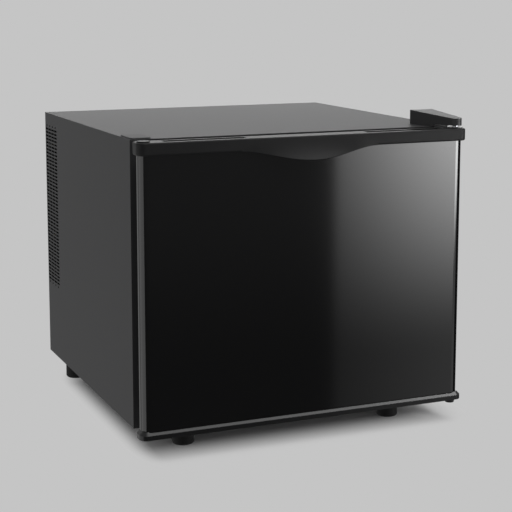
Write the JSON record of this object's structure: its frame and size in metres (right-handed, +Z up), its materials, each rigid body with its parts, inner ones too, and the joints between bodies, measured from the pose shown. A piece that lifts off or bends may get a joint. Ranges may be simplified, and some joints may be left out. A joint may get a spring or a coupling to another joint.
{
  "type": "minibar fridge",
  "caption": "Small hotel minibar fridge: dark steel cabinet on round feet with vented sides and a right-hinged gloss black door with a wave-shaped pull lip, shelf, bins and solid-state cooler.",
  "frame": {"origin": "on the floor under the middle of the overall box", "axes": "+Z up, -Y out of the door, +X towards the hinge side"},
  "size_m": [0.387, 0.4, 0.356],
  "materials": {
    "casing_paint": "satin powder coat",
    "door_gloss": "gloss black enamel",
    "black_plastic": "fine satin moulding",
    "foam": "cut polyurethane foam",
    "white_liner": "formed polystyrene",
    "white_cover": "satin moulding",
    "fan_plastic": "satin moulding",
    "extrusion": "as extruded",
    "module_ceramic": "white alumina",
    "zinc_steel": "zinc plated",
    "seal_rubber": "soft matt",
    "foot_rubber": "matt",
    "shelf_wire": "white coated wire",
    "clear_bin": "clear moulding",
    "lens_clear": "frosted clear",
    "circuit_board": "solder resist"
  },
  "bodies": {
    "cabinet": {"bottom_plate": "casing_paint", "cabinet_foam": "foam", "cabinet_liner": "white_liner", "cable_grommet": "seal_rubber", "cold_block": "extrusion", "cold_fan_frame": "fan_plastic", "cold_sink": "extrusion", "fan_cover": "white_cover", "fan_cover_screws": "zinc_steel", "foot_front_left": "foot_rubber", "foot_front_right": "foot_rubber", "foot_rear_left": "foot_rubber", "foot_rear_right": "foot_rubber", "heatsink_screws": "zinc_steel", "hinge_blank_cover": "black_plastic", "hinge_screws": "zinc_steel", "hot_fan_frame": "fan_plastic", "hot_heatsink": "extrusion", "lamp_lens": "lens_clear", "left_side_panel": "casing_paint", "lower_hinge_pin": "casing_paint", "lower_hinge_plate": "casing_paint", "power_board": "circuit_board", "rear_cover": "casing_paint", "rear_cover_screws": "zinc_steel", "right_side_panel": "casing_paint", "thermoelectric_module": "module_ceramic", "thermostat_control": "fan_plastic", "top_panel": "casing_paint", "upper_hinge_cover": "black_plastic", "upper_hinge_pin": "zinc_steel", "upper_hinge_plate": "zinc_steel"},
    "door": {"door_skin": "door_gloss", "door_foam": "foam", "door_liner": "white_liner", "door_gasket": "seal_rubber", "door_bottom_cap": "black_plastic", "door_top_cap": "black_plastic", "finger_tub": "black_plastic", "top_bush": "black_plastic", "bottom_bush": "black_plastic", "hinge_hole_plugs": "black_plastic"},
    "upper_bin": {"upper_bin": "clear_bin"},
    "lower_bin": {"lower_bin": "clear_bin"},
    "shelf": {"wire_shelf": "shelf_wire"},
    "dial": {"thermostat_dial": "white_cover"},
    "cold_rotor": {"cold_fan_rotor": "fan_plastic"},
    "hot_rotor": {"hot_fan_rotor": "fan_plastic"}
  },
  "joints": [
    {"name": "door_swing", "type": "hinge", "parent": "cabinet", "child": "door", "pos_m": [0.184, -0.1785, 0], "axis": [0, 0, 1], "range_deg": [0, 120]},
    {"name": "upper_bin_lift", "type": "slide", "parent": "door", "child": "upper_bin", "axis": [0, 0, 1], "range_m": [0, 0.025]},
    {"name": "lower_bin_lift", "type": "slide", "parent": "door", "child": "lower_bin", "axis": [0, 0, 1], "range_m": [0, 0.025]},
    {"name": "shelf_slide", "type": "slide", "parent": "cabinet", "child": "shelf", "axis": [0, -1, 0], "range_m": [0, 0.06]},
    {"name": "thermostat_turn", "type": "hinge", "parent": "cabinet", "child": "dial", "pos_m": [0.07, 0.0277, 0.25], "axis": [0, 1, 0], "range_deg": [-135, 135]},
    {"name": "cold_fan_spin", "type": "hinge", "parent": "cabinet", "child": "cold_rotor", "pos_m": [0, 0.05, 0.25], "axis": [0, 1, 0], "continuous": true},
    {"name": "hot_fan_spin", "type": "hinge", "parent": "cabinet", "child": "hot_rotor", "pos_m": [0, 0.165, 0.25], "axis": [0, 1, 0], "continuous": true}
  ]
}
